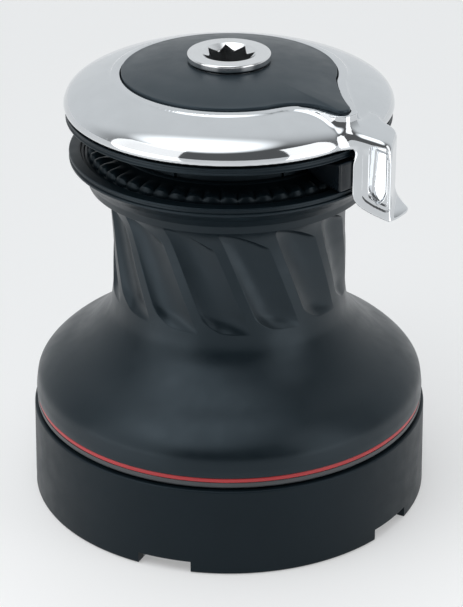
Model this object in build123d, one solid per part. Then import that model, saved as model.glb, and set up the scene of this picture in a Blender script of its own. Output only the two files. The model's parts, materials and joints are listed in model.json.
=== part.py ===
from build123d import *
import math
import os

# Two-speed self-tailing sheet winch. Millimetres, +Z up, origin on the drum's axis at the deck face.

# ---- driving dimensions -------------------------------------------------------------------------
# Base: housing, skirt and the deck fastening
SKIRT_FOOT_R = 98.0
SKIRT_HEAD_R = 97.0
SKIRT_TOP_Z = 44.3
SKIRT_IN_R = 92.8
HOUSING_R = 92.5
HOUSING_IN_R = 89.5
HOUSING_TOP_Z = 42.0
FLOOR_T = 8.0
DECK_BOLTS = 5
DECK_BOLT_R = 77.5
DECK_BOLT_HOLE_R = 4.3
DECK_BOLT_START = -54.0
DRAINS = 5
DRAIN_START = -108.4
DRAIN_HALF_DEG = 7.7
DRAIN_H = 5.3
DRAIN_IN_R = 84.0
POST_ANGLES = (30.0, 150.0, 210.0, 330.0)
POST_AT_R = 48.0
POST_R = 8.0
SHAFT_BOSS_R = 20.0
SHAFT_BOSS_TOP_Z = 26.0

# Gear train, 20 degree teeth of module 2
MODULE = 2.0
PRESSURE = math.radians(20.0)
ADDENDUM = 0.8
DEDENDUM = 1.25
BACKLASH = 0.16
RING_TEETH = 66
FIRST_TEETH = 28
IDLER_TEETH = 14
DRIVE_TEETH = 14
WHEEL_TEETH = 36
SECOND_TEETH = 16
HIGH_Z = (52.0, 66.0)
LOW_Z = (30.0, 42.0)
IDLER_ANGLE = 74.0
SECOND_ANGLE = -90.0
IDLER_PIN_R = 5.0
SECOND_PIN_R = 6.0
IDLER_BUSH_R = 7.5
SECOND_BUSH_R = 9.0
PIN_FOOT_Z = 12.0
RUN = 0.06
GRIP = 0.05

# Stem, bearings and shaft
STEM_FLANGE_R = 60.0
STEM_FLANGE_Z = (70.0, 77.0)
STEM_R = 39.5
STEM_TOP_R = 36.0
STEM_TOP_Z = 192.0
STEM_STEP_Z = 171.8
STEM_BORE_R = 34.0
BUSH_R = 17.0
SHAFT_R = 12.0
SHAFT_FLAT = 10.8
JOURNAL_R = 8.0
JOURNAL_FLAT = 7.0
SHAFT_TOP_Z = 190.0
DRUM_BORE_R = 47.7
ROLLER_R = 4.0
ROLLERS = 22
CAGE_Z = ((96.0, 122.0), (146.0, 170.0))
THRUST_Z = (91.0, 95.4)

# Rings of screws: pitch radius and first angle of each
CARRIER_SCREWS = (28.5, 45.0)
JAW_SCREWS = (50.0, 30.0)
GEAR_SCREWS = (72.3, 10.0)
RING_SCREWS = (44.6, 45.0)

# Drum
DRUM_R = 95.8
DRUM_FOOT_Z = 50.4
WAIST_R = 56.5
DRUM_LIP_R = 66.0
DRUM_LIP_Z = 162.2
NECK_R = 53.0
NECK_TOP_Z = 190.0
WEB_Z = (174.0, 180.0)
FLUTES = 14
FLUTE_START = -30.5
FLUTE_HALF_DEG = 10.3
FLUTE_LEAN_DEG_PER_MM = 0.394
FLUTE_FLOOR_R = 55.0
RING_GEAR_R = 76.0
TRIM_Z = (48.2, 50.4)
EDGE_Z = 45.4

# Self-tailing jaws
JAW_R = 76.0
UPPER_JAW_R = 77.0
JAW_BORE_R = 53.5
LOWER_JAW_Z = 165.2
LOWER_RIM_Z = 177.8
UPPER_RIM_Z = 194.2
UPPER_TOP_Z = 197.5
JAW_RIBS = 52
RIB_W = 3.4
KEYS = 6
KEY_HALF_W = 2.6
KEYWAY_HALF_W = 3.0
KEYWAY_R = 51.2
SPRINGS = 6
SPRING_AT_R = 57.6
SPRING_Z = (160.8, 171.9)
SPRING_SEAT_Z = (160.3, 172.4)
SPRING_COIL_R = 1.7
SPRING_WIRE_R = 0.4
SPRING_TURNS = 6
SPRING_SEAT_R = 2.6

# Feeder ring, arm and cover
RING_R = 77.6
RING_FOOT_Z = 198.2
CARRIER_Z = 198.6
CARRIER_TOP_Z = 202.6
CARRIER_R = 70.0
COVER_R = 50.5
COVER_FIT = 0.35
ARM_ANGLE = -40.0
ARM_CLEAR_R = 79.2
LIP_FLARE_Z = (167.0, 175.0)
STRIPPER_R = 79.0
STRIPPER_ANGLES = (-51.0, -33.0)

# Handle socket: the standard eight-point square of 17.46 mm
SOCKET_SQUARE = 17.46
SOCKET_TURN = 52.5
SOCKET_RIDGE_R = 9.6
SOCKET_MOUTH_R = 13.1
SOCKET_BODY_R = 17.0
SOCKET_FLANGE_R = 19.6
SOCKET_FLANGE_Z = 221.3
SOCKET_TOP_Z = 224.25
SOCKET_FLOOR_Z = 197.0

# Ratchets: two pawls on a hub inside a ring of saw teeth
PAWL_TEETH = 12
HUB_R = 20.6
RATCHET_BORE_R = 20.8
RATCHET_TIP_R = 21.1
RATCHET_ROOT_R = 23.4
RATCHET_SIDE = 2.0
PAWL_PIVOT_AT = 17.2
PAWL_PIVOT_R = 2.2
PAWL_NOSE_AT = 21.6
PAWL_NOSE_DEG = 32.0
PAWL_NOSE_R = 1.0
PAWL_FACE_GAP_DEG = 6.5
PAWL_GAP = 0.3


# ---- helpers ------------------------------------------------------------------------------------
def polar(r, deg, z=0.0):
    return (r * math.cos(math.radians(deg)), r * math.sin(math.radians(deg)), z)


def rod(r, z0, z1, at=(0.0, 0.0)):
    """A cylinder between two heights, given in either order."""
    return Pos(at[0], at[1], (z0 + z1) / 2) * Cylinder(r, abs(z1 - z0))


def tube(r_out, r_in, z0, z1, at=(0.0, 0.0)):
    return rod(r_out, z0, z1, at) - rod(r_in, z0 - 1, z1 + 1, at)


def turned(outline, arc=360.0, start=0.0):
    """Revolve a closed outline of (radius, height) points about the drum's axis."""
    face = make_face(Polyline(*[(r, 0, z) for r, z in outline], close=True))
    return Rot(0, 0, start) * revolve(face, Axis.Z, arc)


def slab(points, z0, z1):
    """A flat outline of (x, y) points raised between two heights."""
    return Pos(0, 0, z0) * extrude(make_face(Polyline(*points, close=True)), z1 - z0)


def block(x0, x1, half_y, z0, z1, turn=0.0):
    """A box on the +X side of the axis, turned to its place."""
    return Rot(0, 0, turn) * Pos((x0 + x1) / 2, 0, (z0 + z1) / 2) * Box(x1 - x0, 2 * half_y, z1 - z0)


def around(shape, count, start=0.0):
    """Copies of one shape spread evenly about the axis."""
    return [Rot(0, 0, start + 360.0 * k / count) * shape for k in range(count)]


def cap_screw(r, head_r, z_tip, z_seat, z_head, at_r, deg):
    at = polar(at_r, deg)[:2]
    return rod(r, z_tip, z_seat, at) + rod(head_r, z_seat, z_head, at)


def double_d(r, flat, z0, z1):
    """A round bar with two flats."""
    return rod(r, z0, z1) & Pos(0, 0, (z0 + z1) / 2) * Box(2 * flat, 4 * r, z1 - z0)


# ---- gears --------------------------------------------------------------------------------------
def involute(angle):
    return math.tan(angle) - angle


def tooth_outline(teeth, phase, internal=False, steps=4):
    """Closed outline of a gear's teeth, as (radius, angle) pairs about the gear's centre."""
    sign = -1.0 if internal else 1.0
    pitch_r = MODULE * teeth / 2
    base_r = pitch_r * math.cos(PRESSURE)
    tip_r = pitch_r + sign * ADDENDUM * MODULE
    root_r = pitch_r - sign * DEDENDUM * MODULE
    half_pitch = math.pi / (2 * teeth) - BACKLASH / pitch_r
    flank_r = root_r if internal else max(base_r, root_r)
    radii = [flank_r + (tip_r - flank_r) * i / steps for i in range(steps + 1)]

    def half(r):
        roll = involute(math.acos(min(1.0, base_r / r)))
        return half_pitch + sign * (involute(PRESSURE) - roll)

    outline = []
    for k in range(teeth):
        centre = phase + 2 * math.pi * k / teeth
        side = [(r, half(r)) for r in radii]
        if root_r < flank_r:
            side.insert(0, (root_r, half(flank_r)))
        outline += [(r, centre - a) for r, a in side]
        outline += [(r, centre + a) for r, a in reversed(side)]
    return outline


def gear_blank(teeth, phase, z0, z1, at=(0.0, 0.0), internal=False):
    outline = tooth_outline(teeth, phase, internal)
    points = [(at[0] + r * math.cos(a), at[1] + r * math.sin(a)) for r, a in outline]
    return slab(points, z0, z1)


def meshed(line_angle, phase, teeth, other_teeth):
    """Phase of an outside gear whose space meets a tooth of the first on their centre line."""
    share = (line_angle - phase) * teeth / math.tau
    return line_angle + math.pi - (0.5 - share) * math.tau / other_teeth


def meshed_inside(line_angle, phase, teeth, other_teeth):
    """Phase of a pinion in a ring gear, or of a ring gear round a pinion."""
    share = (line_angle - phase) * teeth / math.tau
    return line_angle - (share - 0.5) * math.tau / other_teeth


# Gear centres and phases, worked out along the train
FIRST_DISTANCE = MODULE * (FIRST_TEETH + IDLER_TEETH) / 2
REVERSE_AT_R = MODULE * (RING_TEETH - IDLER_TEETH) / 2
SECOND_AT_R = MODULE * (RING_TEETH - SECOND_TEETH) / 2
IDLER_PAIR = MODULE * IDLER_TEETH
REVERSE_OFFSET = math.degrees(math.acos(
    (FIRST_DISTANCE ** 2 + REVERSE_AT_R ** 2 - IDLER_PAIR ** 2) / (2 * FIRST_DISTANCE * REVERSE_AT_R)))
REVERSE_ANGLE = IDLER_ANGLE + REVERSE_OFFSET
FIRST_IDLER_AT = polar(FIRST_DISTANCE, IDLER_ANGLE)[:2]
REVERSE_IDLER_AT = polar(REVERSE_AT_R, REVERSE_ANGLE)[:2]
SECOND_AT = polar(SECOND_AT_R, SECOND_ANGLE)[:2]
PAIR_LINE = math.atan2(REVERSE_IDLER_AT[1] - FIRST_IDLER_AT[1], REVERSE_IDLER_AT[0] - FIRST_IDLER_AT[0])
FIRST_IDLER_PHASE = meshed(math.radians(IDLER_ANGLE), 0.0, FIRST_TEETH, IDLER_TEETH)
REVERSE_PHASE = meshed(PAIR_LINE, FIRST_IDLER_PHASE, IDLER_TEETH, IDLER_TEETH)
RING_PHASE = meshed_inside(math.radians(REVERSE_ANGLE), REVERSE_PHASE, IDLER_TEETH, RING_TEETH)
SECOND_PHASE = meshed_inside(math.radians(SECOND_ANGLE), RING_PHASE, RING_TEETH, SECOND_TEETH)
WHEEL_PHASE = meshed(math.radians(SECOND_ANGLE), 0.0, DRIVE_TEETH, WHEEL_TEETH)


# ---- ratchets -----------------------------------------------------------------------------------
# The first-speed hub drives with its pawls pointing clockwise (hand -1). The second-speed hub's pawls
# point the other way (hand +1).
def pawl_pivots():
    return (0.0, 180.0)


def pawl(hand, pivot_deg, fold, z0, z1, at=(0.0, 0.0)):
    """A pawl with its round heel on the pivot, folded towards the hub by fold degrees."""
    nose_x, nose_y, _ = polar(PAWL_NOSE_AT, hand * PAWL_NOSE_DEG)
    reach = math.hypot(nose_x - PAWL_PIVOT_AT, nose_y)
    lean = math.degrees(math.atan2(nose_y, nose_x - PAWL_PIVOT_AT))
    heel = rod(PAWL_PIVOT_R, z0, z1)
    nose = rod(PAWL_NOSE_R, z0, z1, (reach, 0.0))
    side = math.sqrt(reach ** 2 - (PAWL_PIVOT_R - PAWL_NOSE_R) ** 2) / reach
    slope = (PAWL_PIVOT_R - PAWL_NOSE_R) / reach
    heel_at = (PAWL_PIVOT_R * slope, PAWL_PIVOT_R * side)
    nose_at = (reach + PAWL_NOSE_R * slope, PAWL_NOSE_R * side)
    arm = slab([heel_at, nose_at, (nose_at[0], -nose_at[1]), (heel_at[0], -heel_at[1])], z0, z1)
    body = Rot(0, 0, lean + hand * fold) * (heel + nose + arm)
    return Pos(at[0], at[1], 0) * Rot(0, 0, pivot_deg) * Pos(PAWL_PIVOT_AT, 0, 0) * body


def pawl_pocket(hand, pivot_deg, z0, z1, at=(0.0, 0.0)):
    """The pocket that a pawl folds into, with its pivot seat and room for its leaf spring."""
    seat = rod(PAWL_PIVOT_R + RUN, z0, z1, (PAWL_PIVOT_AT, 0.0))
    outline = [(14.9, 0.0), (13.6, hand * 2.5), (13.6, hand * 13.6), (26.0, hand * 13.6),
               (26.0, hand * 4.0), (19.8, hand * 0.2)]
    return Pos(at[0], at[1], 0) * Rot(0, 0, pivot_deg) * (seat + slab(outline, z0, z1))


def pawl_leaf(hand, pivot_deg, z0, z1, at=(0.0, 0.0)):
    leaf = Pos(13.85, hand * 8.0, (z0 + z1) / 2) * Box(0.4, 10.0, z1 - z0 - 4.0)
    return Pos(at[0], at[1], 0) * Rot(0, 0, pivot_deg) * leaf


def saw_teeth(hand, z0, z1, at=(0.0, 0.0)):
    """The hollow of an internal ratchet: each tooth has one steep face for a pawl to push."""
    step = 360.0 / PAWL_TEETH
    steep = hand * (PAWL_NOSE_DEG + PAWL_FACE_GAP_DEG)
    rise = RATCHET_TIP_R - RATCHET_ROOT_R
    ramp = [(share, RATCHET_ROOT_R + share * rise) for share in (0, 0.25, 0.5, 0.75, 1)]
    points = []
    for k in range(PAWL_TEETH):
        face = steep - hand * step * k
        points += [polar(r, face - hand * step * share)[:2] for share, r in ramp]
    return Pos(at[0], at[1], 0) * slab(points, z0, z1)


def pawl_hub(hand, z0, z1, at=(0.0, 0.0)):
    hub = rod(HUB_R, z0, z1, at)
    for deg in pawl_pivots():
        hub -= pawl_pocket(hand, deg, z0 + RATCHET_SIDE, z1 - RATCHET_SIDE, at)
    return hub


# ---- base ---------------------------------------------------------------------------------------
def drain_cuts(r_in, r_out):
    outline = [(r_in, -1.0), (r_out, -1.0), (r_out, DRAIN_H), (r_in, DRAIN_H)]
    notch = turned(outline, 2 * DRAIN_HALF_DEG, -DRAIN_HALF_DEG)
    return around(notch, DRAINS, DRAIN_START)


def base_housing():
    body = turned([(0, 0), (HOUSING_R, 0), (HOUSING_R, HOUSING_TOP_Z), (HOUSING_IN_R, HOUSING_TOP_Z),
                   (HOUSING_IN_R, FLOOR_T), (SHAFT_BOSS_R, FLOOR_T), (SHAFT_BOSS_R, SHAFT_BOSS_TOP_Z),
                   (BUSH_R - 4, SHAFT_BOSS_TOP_Z), (BUSH_R - 4, FLOOR_T), (0, FLOOR_T)])
    posts = [rod(POST_R, FLOOR_T / 2, STEM_FLANGE_Z[0], polar(POST_AT_R, a)[:2]) for a in POST_ANGLES]
    bosses = [rod(IDLER_PIN_R + 4, FLOOR_T / 2, 49.6, FIRST_IDLER_AT),
              rod(IDLER_PIN_R + 4, FLOOR_T / 2, 49.6, REVERSE_IDLER_AT),
              rod(SECOND_PIN_R + 4, FLOOR_T / 2, 28.6, SECOND_AT)]
    body = body + posts + bosses
    tapped = [rod(3.0 + GRIP, 50.0, 71.0, polar(POST_AT_R, a)[:2]) for a in POST_ANGLES]
    sockets = [rod(IDLER_PIN_R + GRIP, PIN_FOOT_Z, 50.0, FIRST_IDLER_AT),
               rod(IDLER_PIN_R + GRIP, PIN_FOOT_Z, 50.0, REVERSE_IDLER_AT),
               rod(SECOND_PIN_R + GRIP, PIN_FOOT_Z, 30.0, SECOND_AT)]
    deck_holes = around(rod(DECK_BOLT_HOLE_R, -1, FLOOR_T + 1, (DECK_BOLT_R, 0)), DECK_BOLTS, DECK_BOLT_START)
    return body - tapped - sockets - deck_holes - drain_cuts(DRAIN_IN_R, HOUSING_R + 1)


def skirt():
    body = turned([(SKIRT_IN_R, 0), (SKIRT_FOOT_R, 0), (SKIRT_HEAD_R + 0.1, SKIRT_TOP_Z - 1.0),
                   (SKIRT_HEAD_R - 0.8, SKIRT_TOP_Z), (HOUSING_IN_R - 0.5, SKIRT_TOP_Z),
                   (HOUSING_IN_R - 0.5, HOUSING_TOP_Z + 0.1), (SKIRT_IN_R, HOUSING_TOP_Z + 0.1)])
    return body - drain_cuts(HOUSING_R - 1, SKIRT_FOOT_R + 1)


def gear_pin(r, at):
    return rod(r, PIN_FOOT_Z, STEM_FLANGE_Z[1] - 1.0, at)


# ---- stem and its bearings ----------------------------------------------------------------------
def centre_stem():
    body = turned([(BUSH_R, STEM_FLANGE_Z[0]), (STEM_FLANGE_R, STEM_FLANGE_Z[0]),
                   (STEM_FLANGE_R, STEM_FLANGE_Z[1]), (STEM_R + 2.5, STEM_FLANGE_Z[1]),
                   (STEM_R + 2.5, THRUST_Z[0]), (STEM_R, THRUST_Z[0]), (STEM_R, STEM_STEP_Z),
                   (STEM_TOP_R, STEM_STEP_Z), (STEM_TOP_R, STEM_TOP_Z), (21, STEM_TOP_Z), (21, 178),
                   (BUSH_R, 178), (BUSH_R, 164), (30, 164), (STEM_BORE_R, 160), (STEM_BORE_R, 78),
                   (23, 78), (23, 84), (BUSH_R, 84)])
    pin_holes = [rod(IDLER_PIN_R + GRIP, 69, STEM_FLANGE_Z[1] - 1.0, FIRST_IDLER_AT),
                 rod(IDLER_PIN_R + GRIP, 69, STEM_FLANGE_Z[1] - 1.0, REVERSE_IDLER_AT),
                 rod(SECOND_PIN_R + GRIP, 69, STEM_FLANGE_Z[1] - 1.0, SECOND_AT)]
    screw_holes = [rod(3.0 + GRIP, 69, 78, polar(POST_AT_R, a)[:2]) for a in POST_ANGLES]
    top_holes = around(rod(2.5 + GRIP, 180, STEM_TOP_Z + 1, (CARRIER_SCREWS[0], 0)), 4, CARRIER_SCREWS[1])
    return body - pin_holes - screw_holes - top_holes


def bush(r_out, r_in, z0, z1, at=(0.0, 0.0)):
    return tube(r_out, r_in + RUN, z0, z1, at)


def roller_row(z0, z1, r):
    return around(rod(r, z0, z1, ((STEM_R + DRUM_BORE_R) / 2, 0)), ROLLERS)


def roller_cage(z0, z1):
    return tube(46.0, 41.2, z0, z1) - roller_row(z0 + 1.5, z1 - 1.5, ROLLER_R + 0.2)


# ---- drum ---------------------------------------------------------------------------------------
def flute():
    """One slanted hollow in the drum's waist: it starts in the flare and ends in a round arch."""
    stations = [(92.0, FLUTE_HALF_DEG, 61.0), (105.0, FLUTE_HALF_DEG, FLUTE_FLOOR_R),
                (116.0, FLUTE_HALF_DEG, FLUTE_FLOOR_R), (127.0, FLUTE_HALF_DEG, FLUTE_FLOOR_R),
                (138.0, FLUTE_HALF_DEG, FLUTE_FLOOR_R), (149.0, FLUTE_HALF_DEG, FLUTE_FLOOR_R),
                (154.0, 0.8 * FLUTE_HALF_DEG, FLUTE_FLOOR_R + 0.4), (157.5, 0.4 * FLUTE_HALF_DEG, 56.8)]
    outer_r = 64.0
    sections = []
    for z, half, floor_r in stations:
        mid = FLUTE_LEAN_DEG_PER_MM * (150.0 - z)
        corners = [polar(floor_r, mid - half, z), polar(floor_r, mid + half, z),
                   polar(outer_r, mid + half, z), polar(outer_r, mid - half, z)]
        sections.append(make_face(Polyline(*corners, close=True)))
    return loft(sections, ruled=True)


def drum():
    foot = (DRUM_R, DRUM_FOOT_Z)
    wall_top = (DRUM_R, 54.0)
    waist_low = (WAIST_R, 106.0)
    waist_high = (WAIST_R, 140.0)
    lip = (DRUM_LIP_R, DRUM_LIP_Z - 0.8)

    def at(point):
        return Vector(point[0], 0, point[1])

    flare = Spline(at(wall_top), at((93.8, 62)), at((86.5, 70)), at((74.5, 78)), at((65.8, 86)),
                   at((58.5, 95)), at(waist_low), tangents=(Vector(0, 0, 1), Vector(0, 0, 1)))
    crown = Spline(at(waist_high), at((57.3, 151)), at((60.4, 158.8)), at(lip),
                   tangents=(Vector(0, 0, 1), Vector(1, 0, 0.25)))
    inside = [lip, (DRUM_LIP_R, DRUM_LIP_Z), (NECK_R, DRUM_LIP_Z), (NECK_R, NECK_TOP_Z),
              (47.0, NECK_TOP_Z), (47.0, WEB_Z[1]), (STEM_TOP_R + 1, WEB_Z[1]), (STEM_TOP_R + 1, WEB_Z[0]),
              (DRUM_BORE_R, WEB_Z[0]), (DRUM_BORE_R, 95.0), (56, 86), (62, 79), (62, HIGH_Z[1]),
              (78, HIGH_Z[1]), (88, 63), (91.5, 56), (91.5, DRUM_FOOT_Z), foot]
    edges = [Line(at(foot), at(wall_top)), flare, Line(at(waist_low), at(waist_high)), crown]
    edges += [Line(at(a), at(b)) for a, b in zip(inside, inside[1:])]
    body = revolve(make_face(edges), Axis.Z)
    body -= around(flute(), FLUTES, FLUTE_START)
    keyway = block(KEYWAY_R, NECK_R + 1, KEYWAY_HALF_W, DRUM_LIP_Z + 0.8, NECK_TOP_Z + 1)
    spring_seat = rod(SPRING_SEAT_R, SPRING_SEAT_Z[0], DRUM_LIP_Z + 1, (SPRING_AT_R, 0))
    jaw_tap = rod(2.0 + GRIP, 182.0, NECK_TOP_Z + 1, (JAW_SCREWS[0], 0))
    gear_tap = rod(2.5 + GRIP, HIGH_Z[1] - 1, 74.0, (GEAR_SCREWS[0], 0))
    body = body - around(keyway, KEYS) - around(spring_seat, SPRINGS, 30)
    return body - around(jaw_tap, 6, JAW_SCREWS[1]) - around(gear_tap, 6, GEAR_SCREWS[1])


def ring_gear():
    blank = rod(RING_GEAR_R, DRUM_FOOT_Z + 0.2, HIGH_Z[1])
    body = blank - gear_blank(RING_TEETH, RING_PHASE, DRUM_FOOT_Z - 1, HIGH_Z[1] + 1, internal=True)
    at = (GEAR_SCREWS[0], 0)
    hole = rod(2.5 + GRIP, 50, 67, at) + rod(3.5, 50, 54.5, at)
    return body - around(hole, 6, GEAR_SCREWS[1])


def drum_edge_ring():
    return turned([(88.5, EDGE_Z), (DRUM_R - 0.6, EDGE_Z), (DRUM_R - 0.2, EDGE_Z + 0.5),
                   (DRUM_R - 0.2, TRIM_Z[0]), (91.4, TRIM_Z[0]), (91.4, 54.0), (88.5, 54.0)])


# ---- jaws ---------------------------------------------------------------------------------------
def jaw_ribs(outline):
    """Radial ribs with one (radius, height) outline each."""
    face = make_face(Polyline(*[(r, RIB_W / 2, z) for r, z in outline], close=True))
    return around(extrude(face, RIB_W, dir=(0, -1, 0)), JAW_RIBS)


def lower_jaw():
    body = turned([(JAW_BORE_R, LOWER_JAW_Z), (62.6, LOWER_JAW_Z), (67.5, 167.0), (72.0, 169.8),
                   (75.3, 173.2), (JAW_R, 174.0), (JAW_R, 177.3), (JAW_R - 0.5, LOWER_RIM_Z),
                   (69.8, LOWER_RIM_Z), (69.4, 175.6), (66.8, 175.6), (66.4, 177.4), (55.0, 180.6),
                   (JAW_BORE_R, 180.6)])
    body += jaw_ribs([(54.5, 178.0), (66.0, 176.5), (66.0, 178.9), (55.0, 182.0), (54.5, 182.0)])
    keys = around(block(KEYWAY_R + 0.4, JAW_BORE_R + 0.6, KEY_HALF_W, LOWER_JAW_Z + 0.8, 181.6), KEYS)
    seat = rod(SPRING_SEAT_R, LOWER_JAW_Z - 1, SPRING_SEAT_Z[1], (SPRING_AT_R, 0))
    return body + keys - around(seat, SPRINGS, 30)


def upper_jaw():
    body = turned([(45.5, NECK_TOP_Z), (55.0, NECK_TOP_Z), (55.6, 189.4), (66.0, 192.4), (74.0, UPPER_RIM_Z),
                   (UPPER_JAW_R - 0.3, UPPER_RIM_Z), (UPPER_JAW_R, UPPER_RIM_Z + 0.4),
                   (UPPER_JAW_R, UPPER_TOP_Z - 0.4), (UPPER_JAW_R - 0.4, UPPER_TOP_Z), (45.5, UPPER_TOP_Z)])
    body += jaw_ribs([(56.0, 187.9), (71.0, 192.2), (71.0, 194.5), (56.0, 191.0)])
    lugs = around(block(KEYWAY_R + 0.3, 55.0, KEY_HALF_W, 182.0, NECK_TOP_Z + 1), KEYS)
    at = (JAW_SCREWS[0], 0)
    hole = rod(2.0 + GRIP, 189, 198, at) + rod(3.8, 193.9, 198, at)
    return body + lugs - around(hole, 6, JAW_SCREWS[1])


def jaw_spring():
    length = SPRING_Z[1] - SPRING_Z[0]
    path = Helix(length / SPRING_TURNS, length, SPRING_COIL_R)
    wire = Plane(origin=path @ 0, z_dir=path % 0) * Circle(SPRING_WIRE_R)
    return Pos(SPRING_AT_R, 0, SPRING_Z[0]) * sweep(wire, path)


# ---- feeder ring, stripper and cover --------------------------------------------------------------
def in_arm_frame(radial, across):
    """A point given along and across the arm's direction."""
    a = math.radians(ARM_ANGLE)
    return (radial * math.cos(a) - across * math.sin(a), radial * math.sin(a) + across * math.cos(a))


def cover_outline():
    """The cover's drop shape: a circle with a tail towards the arm."""
    start = polar(COVER_R, ARM_ANGLE + 28.0)[:2]
    end = polar(COVER_R, ARM_ANGLE - 30.0)[:2]
    tip_a = in_arm_frame(70.4, 0.0)
    tip = in_arm_frame(72.6, -4.4)
    tip_b = in_arm_frame(69.0, -7.6)
    upper = ThreePointArc(start, in_arm_frame(55.0, 12.6), tip_a)
    point = ThreePointArc(tip_a, tip, tip_b)
    lower = ThreePointArc(tip_b, in_arm_frame(55.6, -10.4), end)
    far = polar(COVER_R, ARM_ANGLE + 180.0)[:2]
    back = ThreePointArc(end, far, start)
    return make_face([upper, point, lower, back])


def stripper_carrier():
    body = turned([(21, STEM_TOP_Z), (STEM_TOP_R, STEM_TOP_Z), (STEM_TOP_R, CARRIER_Z),
                   (CARRIER_R, CARRIER_Z), (CARRIER_R, CARRIER_TOP_Z), (21, CARRIER_TOP_Z)])
    at = (CARRIER_SCREWS[0], 0)
    hole = rod(2.5 + GRIP, 191, 203, at) + rod(4.6, 198.0, 203, at)
    ring_tap = rod(2.0 + GRIP, 197, 203, (RING_SCREWS[0], 0))
    return body - around(hole, 4, CARRIER_SCREWS[1]) - around(ring_tap, 4, RING_SCREWS[1])


def arm():
    """The arm outside the jaws: upright, then swept outwards into the lip that lifts the line."""
    plan = [(55.2, -56.6), (72.6, -61.8), (76.2, -46.0), (73.0, -38.5), (60.0, -38.0), (50.0, -46.0)]
    lip_plan = [(55.2, -56.6), (72.6, -61.8), (82.6, -49.4), (77.0, -42.0), (60.0, -38.0), (50.0, -46.0)]
    side = [(66.0, 209.5), (80.0, 207.6), (88.0, 205.2), (91.2, 201.5), (91.6, 182.0), (92.8, 174.0),
            (96.6, 169.2), (97.0, 166.6), (95.4, 164.8), (90.0, 165.4), (84.0, 168.4), (80.0, 173.0),
            (78.6, 177.0), (78.6, 198.2), (66.0, 206.4)]
    sections = [Pos(0, 0, z) * make_face(Polyline(*points, close=True))
                for points, z in ((plan, LIP_FLARE_Z[1]), (lip_plan, LIP_FLARE_Z[0]))]
    column = slab(plan, LIP_FLARE_Z[1], 212.0) + loft(sections, ruled=True)
    column += slab(lip_plan, 160.0, LIP_FLARE_Z[0])
    face = make_face(Polyline(*[(r, 60.0, z) for r, z in side], close=True))
    profile = Rot(0, 0, ARM_ANGLE) * extrude(face, 120.0, dir=(0, -1, 0))
    return (column & profile) - rod(ARM_CLEAR_R, 150.0, RING_FOOT_Z)


def feeder_ring():
    body = turned([(75.2, RING_FOOT_Z), (RING_R - 0.2, RING_FOOT_Z), (RING_R + 0.1, 199.4), (RING_R, 201.0),
                   (76.4, 204.2), (72.6, 207.8), (67.0, 210.6), (60.0, 212.7), (53.4, 213.9), (51.4, 214.2),
                   (50.9, 213.6), (50.9, 206.0), (41.4, 206.0), (41.4, CARRIER_TOP_Z), (54.0, CARRIER_TOP_Z),
                   (54.0, 209.8), (62.0, 208.4), (69.0, 205.4), (73.4, 201.6)])
    outline = cover_outline()
    pad = Pos(0, 0, 207.0) * extrude(offset(outline, 4.0), 6.2)
    pad = pad & rod(76.0, 200.0, 220.0)
    pad -= rod(52.0, 200.0, 220.0)
    recess = Pos(0, 0, 210.6) * extrude(offset(outline, COVER_FIT), 10.0)
    tap = rod(2.0 + GRIP, 202, 207, (RING_SCREWS[0], 0))
    return body + arm() + pad - recess - around(tap, 4, RING_SCREWS[1])


def top_cover():
    bowl = turned([(18.2, 213.0), (21.0, 213.0), (21.0, 216.8), (36.0, 215.4), (47.5, 213.0),
                   (47.5, 206.0), (COVER_R, 206.0), (COVER_R, 215.1), (49.7, 215.9), (36.0, 218.5),
                   (24.0, 219.9), (18.2, 220.1)])
    tail = Pos(0, 0, 211.0) * extrude(cover_outline(), 3.6)
    return bowl + (tail - rod(48.5, 200.0, 225.0))


def line_stripper():
    """The wedge that lifts the line out of the jaws' groove."""
    return turned([(56.5, 183.2), (66.0, 180.2), (STRIPPER_R, 179.4), (STRIPPER_R, 193.2), (71.0, 191.2),
                   (56.5, 187.0)], STRIPPER_ANGLES[1] - STRIPPER_ANGLES[0], STRIPPER_ANGLES[0])


# ---- shaft --------------------------------------------------------------------------------------
def main_shaft():
    low = rod(JOURNAL_R, 11.0, 28.0) + double_d(JOURNAL_R, JOURNAL_FLAT, 28.0, 44.5)
    mid = rod(SHAFT_R, 44.5, 51.0) + double_d(SHAFT_R, SHAFT_FLAT, 51.0, 67.0)
    high = rod(SHAFT_R, 67.0, 182.5) + double_d(SHAFT_R, SHAFT_FLAT, 182.5, SHAFT_TOP_Z)
    body = low + mid + high
    groove = tube(SHAFT_R + 1, 11.0, 178.6, 180.2)
    return body - groove - rod(4.0 + GRIP, 170.0, SHAFT_TOP_Z + 1)


def second_drive_pinion():
    teeth = gear_blank(DRIVE_TEETH, 0.0, LOW_Z[0], LOW_Z[1])
    return teeth + rod(11.0, 28.4, 44.4) - double_d(JOURNAL_R + GRIP, JOURNAL_FLAT + GRIP, 28, 45)


def pawl_carrier():
    hub = pawl_hub(-1, HIGH_Z[0], HIGH_Z[1])
    return hub - double_d(SHAFT_R + GRIP, SHAFT_FLAT + GRIP, HIGH_Z[0] - 1, HIGH_Z[1] + 1)


def first_ratchet_gear():
    body = gear_blank(FIRST_TEETH, 0.0, HIGH_Z[0], HIGH_Z[1])
    body -= rod(RATCHET_BORE_R, HIGH_Z[0] - 1, HIGH_Z[1] + 1)
    return body - saw_teeth(-1, HIGH_Z[0] + RATCHET_SIDE, HIGH_Z[1] - RATCHET_SIDE)


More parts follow.
